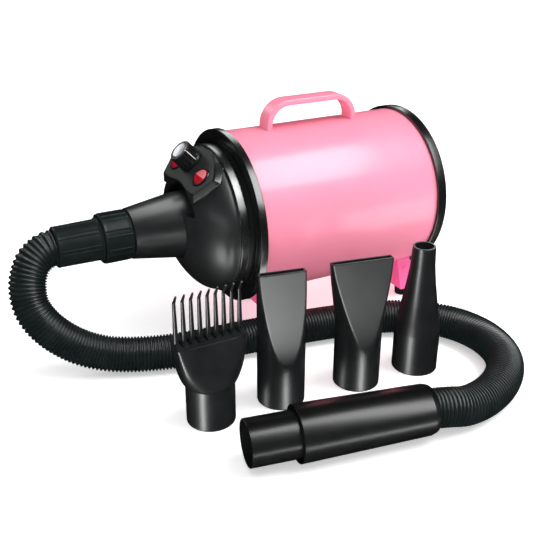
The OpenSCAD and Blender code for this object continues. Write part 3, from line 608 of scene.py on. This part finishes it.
def cover_field(x, y, z):
    """The front cover: dome, control block, pocket, rocker wells and flange."""
    y = y - AXIS_Y
    z = z - AXIS_H
    r = np.hypot(y, z)
    rest = np.clip((DOME_X1 - x) / (DOME_X1 - DOME_X0), 0, 1)
    dome = (r - dome_radius(x)) / np.hypot(1, DOME_POWER * rest ** (DOME_POWER - 1))
    dome = smax(dome, DOME_X0 - x, 1.0)
    width = PANEL_HALF + 0.7 * np.clip(x - PANEL_X, 0, 40)
    block = smax((np.abs(y) - width) * 0.85, PANEL_X - x, 2.0)
    face = (z - PANEL_Z) * math.cos(PANEL_TILT) - (x - PANEL_X) * math.sin(PANEL_TILT)
    neck = np.hypot(0.9 * y, z) - NECK_R
    block = smax(smax(block, neck, 0.5), -face - BLOCK_DEPTH, 0.8)
    body = smin(dome, block, 1.2)
    body = smax(body, face, 1.2)
    pocket = smax(r - POCKET_R, x - POCKET_BACK, 1.0)
    flare = r - (POCKET_R - 0.5) - 1.1 * (FLARE_X - x)
    pocket = np.minimum(pocket, smax(flare * 0.7, x - FLARE_X, 1.0))
    pocket = smax(pocket, POCKET_FLOOR - z, 2.0)
    body = smax(body, -pocket, 2.2)
    s = (x - PANEL_X) * math.cos(PANEL_TILT) + (z - PANEL_Z) * math.sin(PANEL_TILT)
    for side in (-ROCKER_Y, ROCKER_Y):
        well = np.hypot(s - ROCKER_S, y - side) - WELL_R
        body = smax(body, -np.maximum(well, -WELL_DEPTH - face), 0.4)
    rim = np.hypot(np.clip(np.abs(x - FLANGE_X) - FLANGE_HALF, 0, None),
                   np.clip(r - (FLANGE_R - FLANGE_EDGE), 0, None)) - FLANGE_EDGE
    body = smin(body, np.where(r > NECK_R - 6, rim, FAR), 0.8)
    body = np.maximum(body, x - SHELL_X0)
    return np.maximum(body, TUBE_ROOT_R + 0.1 - r)


cover_points, cover_faces = field_surface(
    cover_field, (-116, AXIS_Y - 80, AXIS_H - 80), (SHELL_X0, AXIS_Y + 80, AXIS_H + 80), 0.9)
cover = add_mesh("domed_front_cover", cover_points, cover_faces,
                 [MATERIALS["black_satin"], MATERIALS["panel_grey"], TRIM_GLOSS], "dryer",
                 "black_satin", "front_cover")
PANEL_FINISH, FLANGE_FINISH = 1, 2
for polygon in cover.data.polygons:
    across, above = polygon.center.y / MM - AXIS_Y, polygon.center.z / MM - AXIS_H
    if polygon.normal.dot(Vector(PANEL_UP)) > 0.985 and above > PANEL_LOW:
        polygon.material_index = PANEL_FINISH
    elif math.hypot(across, above) > FLANGE_FACE:
        polygon.material_index = FLANGE_FINISH

outlet = add_mesh("tapered_outlet_tube", *turned(rounded([
    (SPIGOT_X, 20, 0.4), (SPIGOT_X, SPIGOT_R, 0.8), (TUBE_END_X, SPIGOT_R, 0),
    (TUBE_END_X, TUBE_END_R, 1.0), (DOME_X0, 33.9, 0), (-87.5, 33.9, 0), (SHELL_X0, 58.2, 0),
    (SHELL_X0, 56, 0), (-86.5, 31.5, 0), (DOME_X0, 31, 0), (TUBE_END_X, 19.5, 0)]),
    BLOWER, 192),
    MATERIALS["black_satin"], "dryer", "black_satin", "outlet_tube")

# ---- controls ----


# knob: the heights of its skirt, of the recess for its cap and of its top
SKIRT_H = 4.8
CAP_SEAT = 17.9
KNOB_TOP = 19.1
KNOB_FLUTES = 16
FLUTE_DEPTH = 1.2


def flutes(t, r, phi):
    """Grips round the knob: broad ribs with narrow grooves, fading out at the top and skirt."""
    deep = np.clip((t - SKIRT_H) / 1.0, 0, 1) * np.clip((CAP_SEAT - t) / 1.2, 0, 1) * (r > 10.5)
    return -deep * FLUTE_DEPTH * np.abs(np.cos(KNOB_FLUTES / 2 * phi)) ** 4


knob_frame = on_panel(KNOB_S, KNOB_Y, 0)
knob_outline = densify(rounded([
    (0.6, 3.1, 0), (0.6, 13.0, 0.4), (2.6, 13.2, 0.6), (4.4, 12.6, 0.8), (18.1, 12.4, 0.5),
    (KNOB_TOP, 11.4, 0.9), (KNOB_TOP, 9.6, 0.3), (CAP_SEAT, 9.4, 0), (CAP_SEAT, 3.1, 0)]), 0.9)
add_mesh("fluted_speed_knob", *turned(knob_outline, knob_frame, 288, flutes),
         MATERIALS["black_gloss"], "knob", "black_gloss", "speed_knob")
add_mesh("knob_cap_insert", *turned(rounded([
    (CAP_SEAT, 0.02, 0), (CAP_SEAT, 0.3, 0), (CAP_SEAT, 9.3, 0), (19.2, 9.3, 0.4),
    (19.45, 8.6, 0.3), (19.25, 7.9, 0.2), (19.0, 4.0, 0), (18.75, 0.3, 0), (18.75, 0.02, 0)]),
    knob_frame, 96), MATERIALS["silver_trim"], "knob", "silver_trim", "knob_cap")

POINTER_ANGLE = math.radians(-74)
POINTER_HALF = 0.35
POINTER_EDGE = 0.15
pointer_up = (np.array(PANEL_SLOPE) * math.cos(POINTER_ANGLE)
              + np.cross(PANEL_UP, PANEL_SLOPE) * math.sin(POINTER_ANGLE))
pointer_frame = axis_frame(knob_frame[:3, 3], PANEL_UP, pointer_up)


def pointer_bar(r0, r1, z0, z1):
    """A stretch of the pointer line between two radii and two heights on the knob."""
    section = rounded([(-POINTER_HALF, z0, POINTER_EDGE), (POINTER_HALF, z0, POINTER_EDGE),
                       (POINTER_HALF, z1, POINTER_EDGE), (-POINTER_HALF, z1, POINTER_EDGE)], 3)
    return swept([place([(x, a, b) for a, b in section], pointer_frame) for x in (r0, r1)])


add_mesh("knob_pointer_line", *join_parts([
    pointer_bar(11.6, 12.6, SKIRT_H, 18.2), pointer_bar(9.5, 12.0, 18.7, 19.25)]),
    WHITE_LINE, "knob", "silver_trim")

# rocker button: its radius, the height of its ridge, the slope of its halves, and how far it tips
ROCKER_R = 8.35
ROCKER_TOP = 3.9
ROCKER_FALL = 0.2
ROCKER_TIP = math.radians(-5)


def rocker_field(x, y, z):
    """A round button whose top falls both ways from the middle."""
    disc = smax(np.hypot(x, y) - ROCKER_R, -1.2 - z, 0.5)
    top = z - ROCKER_TOP + ROCKER_FALL * np.abs(x)
    return smax(disc, top, 0.7)


rocker_points, rocker_faces = field_surface(rocker_field, (-9, -9, -2), (9, 9, 4), 0.35)
tip = np.array(Matrix.Rotation(ROCKER_TIP, 4, "Y"))
for name, side in (("power", -ROCKER_Y), ("heat", ROCKER_Y)):
    rocker_frame = on_panel(ROCKER_S, side, -1)
    button = add_mesh(name + "_rocker_button", place(rocker_points, rocker_frame @ tip),
                      rocker_faces, [MATERIALS["red_plastic"], RED_PAINTED_HIGHLIGHT], name + "_button",
                      "red_plastic", name + "_rocker")
    # painted highlight: the half of each button that faces up the panel takes the lighter red, as
    # if it were lit
    for polygon in button.data.polygons:
        middle = rocker_points[list(polygon.vertices)].mean(0)
        if middle[0] > 0.2 and middle[2] > 2.0:     # the half that faces up the panel
            polygon.material_index = 1
add_mesh("rocker_bezels", *join_parts([
    turned(rounded([(-3.4, 8.6, 0), (0.9, 8.6, 0.3), (1.5, 9.3, 0.5), (1.1, 10.4, 0.6),
                    (0.02, 11.0, 0.2), (0.02, 9.4, 0), (-3.4, 9.4, 0)]),
           on_panel(ROCKER_S, side, 0), 96) for side in (-ROCKER_Y, ROCKER_Y)]),
    MATERIALS["black_gloss"], "dryer", "black_gloss", "switch_bezels")

# ---- nozzles ----


# the duct's radius above the socket, the walls, and where and how far the wide nozzle widens
DUCT_R = 20.2
BLADE_WALL = 1.7
WIDE_WALL = 1.9
COMB_WALL = 2.2
WIDE_HALF = 30.9
WIDE_FROM = 60


def socket_hole(r, z):
    """The bore that takes the wand's outlet tube."""
    return np.maximum(r - BORE_R, z - SOCKET_DEPTH)


def blade(y, z, height, t):
    """Distance outside the two planes that flatten a nozzle, drawn back inwards by t."""
    lean = (SOCKET_R - BLADE_HALF) / (height + 1 - 45)
    return (np.abs(y) - (BLADE_HALF - t) - (height + 1 - z) * lean) / math.hypot(1, lean)


def hollow(outer, inner, r, z):
    """A nozzle from its outside, which ends at the floor, its duct, and the socket's bore."""
    outer = smax(outer, -z, 0.6)
    return smax(smax(outer, -inner, 0.5), -socket_hole(r, z), 0.5)


def narrow_field(x, y, z):
    """A round tube cut flat by two planes."""
    r = np.hypot(x, y)
    outer = smax(smax(r - SOCKET_R, blade(y, z, NARROW_H, 0), 1.1), z - NARROW_H, 0.8)
    inner = smax(smax(r - DUCT_R, blade(y, z, NARROW_H, BLADE_WALL), 0.6), 37 - z, 0.6)
    return hollow(outer, inner, r, z)


def wide_field(x, y, z):
    """The same, but widening upwards from WIDE_FROM."""
    f = np.clip((z - WIDE_FROM) / (WIDE_H - 1 - WIDE_FROM), 0, 1)
    f = f * f * (3 - 2 * f) * 0.35 + f * 0.65

    def body(t):
        stretch = 1 + f * ((WIDE_HALF - t) / (SOCKET_R - t) - 1)
        return (np.hypot(x / stretch, y) - (SOCKET_R - t)) * (0.6 + 0.4 / stretch)

    r = np.hypot(x, y)
    outer = smax(smax(body(0), blade(y, z, WIDE_H, 0), 1.1), z - WIDE_H, 0.8)
    inner = smax(smax(body(WIDE_WALL), blade(y, z, WIDE_H, BLADE_WALL), 0.6), 37 - z, 0.6)
    inner = np.where(z < WIDE_FROM, np.maximum(inner, r - DUCT_R), inner)
    return hollow(outer, inner, r, z)


def comb_field(x, y, z):
    """The comb nozzle's body: a socket with a hood that flattens and widens upwards."""
    r = np.hypot(x, y)
    f = np.clip((z - 41) / 42, 0, 1)
    swell = np.sqrt(np.clip(1 - (1 - np.clip(f * 2.2, 0, 1)) ** 2, 0, 1))
    half = 23.2 + 4.6 * swell + 5.2 * f
    front, back = 23.2 - 12.2 * f, 23.2 - 14.2 * f
    depth = np.where(y < 0, front, back)
    power = 2 + 6 * f**1.5
    round_part = (np.abs(x / half) ** power + np.abs(y / depth) ** power) ** (1 / power)
    hood = smax((round_part - 1) * np.minimum(half, depth), 41 - z, 1.2)
    hood = smax(hood, z - COMB_H, 0.6)
    outer = smin(smax(r - SOCKET_R, z - 44, 0.5), hood, 0.8)
    inner = smax((round_part - 1) * np.minimum(half, depth) + COMB_WALL, 39 - z, 0.5)
    return hollow(outer, inner, r, z)


nozzles = {"comb": [nodes["comb_teeth"]]}
for name, field, spot, turn, reach in (
        ("narrow", narrow_field, NARROW_AT, BLADE_TURN, (24, 24, NARROW_H + 1)),
        ("wide", wide_field, WIDE_AT, BLADE_TURN, (32, 24, WIDE_H + 1)),
        ("comb", comb_field, COMB_AT, 0, (34, 24, COMB_H + 1))):
    points, quads = field_surface(field, (-reach[0], -reach[1], 0), reach, 0.75)
    nozzle = add_mesh(name + "_nozzle_body", place(points, upright(*spot, turn)), quads,
                      MATERIALS["black_satin"], name, "black_satin", name + "_nozzle")
    nozzles.setdefault(name, []).append(nozzle)

round_outline = rounded([
    (0, BORE_R, 0), (0, SOCKET_R, 0.5), (43, SOCKET_R, 5), (53, 21.2, 6), (66, 18.6, 8),
    (95, 14, 8), (112, 12, 4), (ROUND_H, 11.1, 0.7), (ROUND_H, 8.9, 0.5), (112, 9.9, 4),
    (95, 12, 8), (66, 16.6, 8), (52, 19.4, 3), (SOCKET_DEPTH, 20.4, 0.3),
    (SOCKET_DEPTH, BORE_R, 0)], 8)
nozzles["round"] = [add_mesh("round_nozzle_body", *turned(round_outline, upright(*ROUND_AT), 192),
                             MATERIALS["black_satin"], "round", "black_satin", "round_nozzle")]

# ---- stage and light ----


def softbox(name, where, target, size, power, up=(0, 0, 1)):
    """An area light aimed at target, whose size is given across and along up."""
    data = bpy.data.lights.new(name, "AREA")
    data.shape = "RECTANGLE"
    data.size, data.size_y = size
    data.energy = power
    lamp = bpy.data.objects.new(name, data)
    z = (Vector(where) - Vector(target)).normalized()
    y = (Vector(up) - Vector(up).dot(z) * z).normalized()
    lamp.matrix_world = Matrix((y.cross(z), y, z)).transposed().to_4x4()
    lamp.location = where
    scene.collection.objects.link(lamp)
    return lamp


def sun(name, direction, angle, strength):
    """A sun that shines along direction, as wide as angle in degrees."""
    data = bpy.data.lights.new(name, "SUN")
    data.angle = math.radians(angle)
    data.energy = strength
    lamp = bpy.data.objects.new(name, data)
    lamp.rotation_euler = Vector(direction).to_track_quat("-Z", "Y").to_euler()
    scene.collection.objects.link(lamp)
    return lamp


def unseen(lamp, *kinds):
    """Hides a light or a stage piece from some kinds of rays."""
    for kind in kinds:
        setattr(lamp, "visible_" + kind, False)
    return lamp


def only_on(lamp, *pieces):
    """Keeps a light to some pieces, as a flag beside a lamp does in a studio."""
    group = bpy.data.collections.new(lamp.name + "_group")
    for piece in pieces:
        group.objects.link(piece)
    lamp.light_linking.receiver_collection = group


UP, LEVEL, LEANING = (0, 0, 1), (0, 1, 0), (0, 1, 0.4)
DRUM = (0.05, 0.1, 0.12)
FRONT = (0, 0.05, 0.12)
TUBE = (-0.13, 0.1, 0.12)
WAND_MIDDLE = (-0.02, -0.16, 0.03)
bands = (front_band, rear_band)
flat_nozzles = (*nozzles["narrow"], *nozzles["wide"])

# soft light for everything
unseen(sun("overhead", (0.1, 0.2, -1), 50, 0.68), "glossy")
key = softbox("key", (0.63, -0.45, 1.38), FRONT, (0.6, 1.1), 17, LEANING)
front_fill = unseen(
    softbox("front_fill", (-0.9, -1.5, 0.25), (0, 0.1, 0.1), (1.2, 0.6), 13), "glossy")
unseen(softbox("back_light", (0.8, 1.3, 0.9), (0, 0, 0.12), (0.9, 0.5), 5), "glossy")

# highlights: each lamp shows only as a reflection, and only on its pieces where some are named
highlights = {}
for name, where, target, size, power, up, pieces in (
        ("back_left", (-0.63, 1.30, 0.90), (-0.09, 0.10, 0.18), (0.8, 0.42), 2.4, UP, ()),
        ("floor_glow", (-0.20, -0.34, -0.28), (-0.15, -0.2, 0), (1.4, 0.5), 12, LEVEL, bands),
        ("low_right", (-0.20, -1.5, -0.42), (0, 0, 0.07), (0.42, 1.1), 36, UP, flat_nozzles),
        ("low_left", (-1.35, -0.75, -0.42), (-0.05, -0.07, 0.07), (0.3, 1.1), 34, UP,
         (*nozzles["comb"], *nozzles["round"])),
        ("low_side", (-1.28, 0.20, -0.54), (0.05, -0.07, 0.07), (0.3, 1.1), 6, UP,
         flat_nozzles),
        ("band_key", (0.63, -0.78, 1.20), FRONT, (0.7, 1.2), 25, LEANING, (cover, *bands)),
        ("band_back", (0.72, 1.22, 1.05), DRUM, (0.7, 0.8), 7, UP, (cover, *bands)),
        ("dome_strip", (-1.15, -0.70, 0.32), (-0.09, 0.04, 0.148), (1.3, 0.1), 2.4, UP,
         (cover,)),
        ("dome_glow", (-0.50, -0.80, -0.78), (-0.085, 0.03, 0.115), (1.9, 0.5), 30, UP,
         (cover,)),
        ("tube_strip", (-0.11, -1.23, -0.37), TUBE, (0.6, 0.4), 9, UP, (outlet,)),
        ("tube_key", (0.04, 0.40, 1.42), TUBE, (0.5, 1.2), 14, LEVEL, (outlet, hose)),
        ("shell_strip", (0.80, -1.08, -0.32), DRUM, (0.9, 0.7), 5, UP, (shell,)),
        ("wand_key", (0.50, -1.00, 1.15), WAND_MIDDLE, (0.6, 1.6), 27, UP,
         (wand_tube, wand_sleeve, hose)),
        ("wand_strip", (0.22, -0.92, -0.39), WAND_MIDDLE, (0.8, 0.12), 2.4, UP,
         (wand_tube, wand_sleeve)),
        ("rear_soft", (1.8, 0.6, 0.9), (0.17, 0.1, 0.12), (1.4, 0.9), 14, UP,
         (nodes["rear_plate"], nodes["rear_grille"], nodes["cord_gland"])),
        ("nozzle_back", (1.1, 1.3, 0.9), (-0.03, -0.07, 0.07), (1.2, 0.8), 12, UP,
         [piece for kind in nozzles.values() for piece in kind])):
    highlights[name] = unseen(softbox(name, where, target, size, power, up), "diffuse")
    if pieces:
        only_on(highlights[name], *pieces)

# the nozzles and the hose stand in front of the drum, but throw no shadow on it from these
for lamp in (front_fill, *(highlights[name] for name in (
        "shell_strip", "dome_strip", "dome_glow", "tube_strip"))):
    group = bpy.data.collections.new(lamp.name + "_blockers")
    for piece in (shell, cover, *bands, outlet):
        group.objects.link(piece)
    lamp.light_linking.blocker_collection = group

world = bpy.data.worlds.new("studio")
scene.world = world
world.use_nodes = True
world.node_tree.nodes["Background"].inputs["Color"].default_value = (1, 1, 1, 1)
world.node_tree.nodes["Background"].inputs["Strength"].default_value = 0.55
world.cycles_visibility.glossy = False
scene.view_settings.view_transform = "Standard"

floor_mesh = bpy.data.meshes.new("floor")
floor_mesh.from_pydata([(-6, -6, 0), (6, -6, 0), (6, 6, 0), (-6, 6, 0)], [], [(0, 1, 2, 3)])
floor = bpy.data.objects.new("floor", floor_mesh)
paper = surface("floor_paper", (0.93, 0.93, 0.93), (0.95, 0.95, 0.95), 0.8)
paper.node_tree.nodes["Principled BSDF"].inputs["Emission Color"].default_value = (1, 1, 1, 1)
paper.node_tree.nodes["Principled BSDF"].inputs["Emission Strength"].default_value = 0.4
floor_mesh.materials.append(paper)
scene.collection.objects.link(floor)
unseen(floor, "glossy", "shadow")

backdrop_mesh = bpy.data.meshes.new("backdrop")
ring = [(5.9 * math.cos(a), 5.9 * math.sin(a)) for a in np.linspace(0, 2 * math.pi, 48, False)]
backdrop_mesh.from_pydata(
    [(x, y, 0) for x, y in ring] + [(x, y, 6) for x, y in ring], [],
    [(k, (k + 1) % 48, 48 + (k + 1) % 48, 48 + k) for k in range(48)])
backdrop = bpy.data.objects.new("backdrop", backdrop_mesh)
glow = bpy.data.materials.new("backdrop_glow")
glow.use_nodes = True
glow_shader = glow.node_tree.nodes["Principled BSDF"]
glow_shader.inputs["Emission Color"].default_value = (1, 1, 1, 1)
glow_shader.inputs["Emission Strength"].default_value = 1.0
backdrop_mesh.materials.append(glow)
unseen(backdrop, "diffuse", "glossy", "shadow")
scene.collection.objects.link(backdrop)
only_on(key, *[piece for piece in scene.objects
               if piece.type == "MESH" and piece not in (wand_tube, wand_sleeve, *bands)])
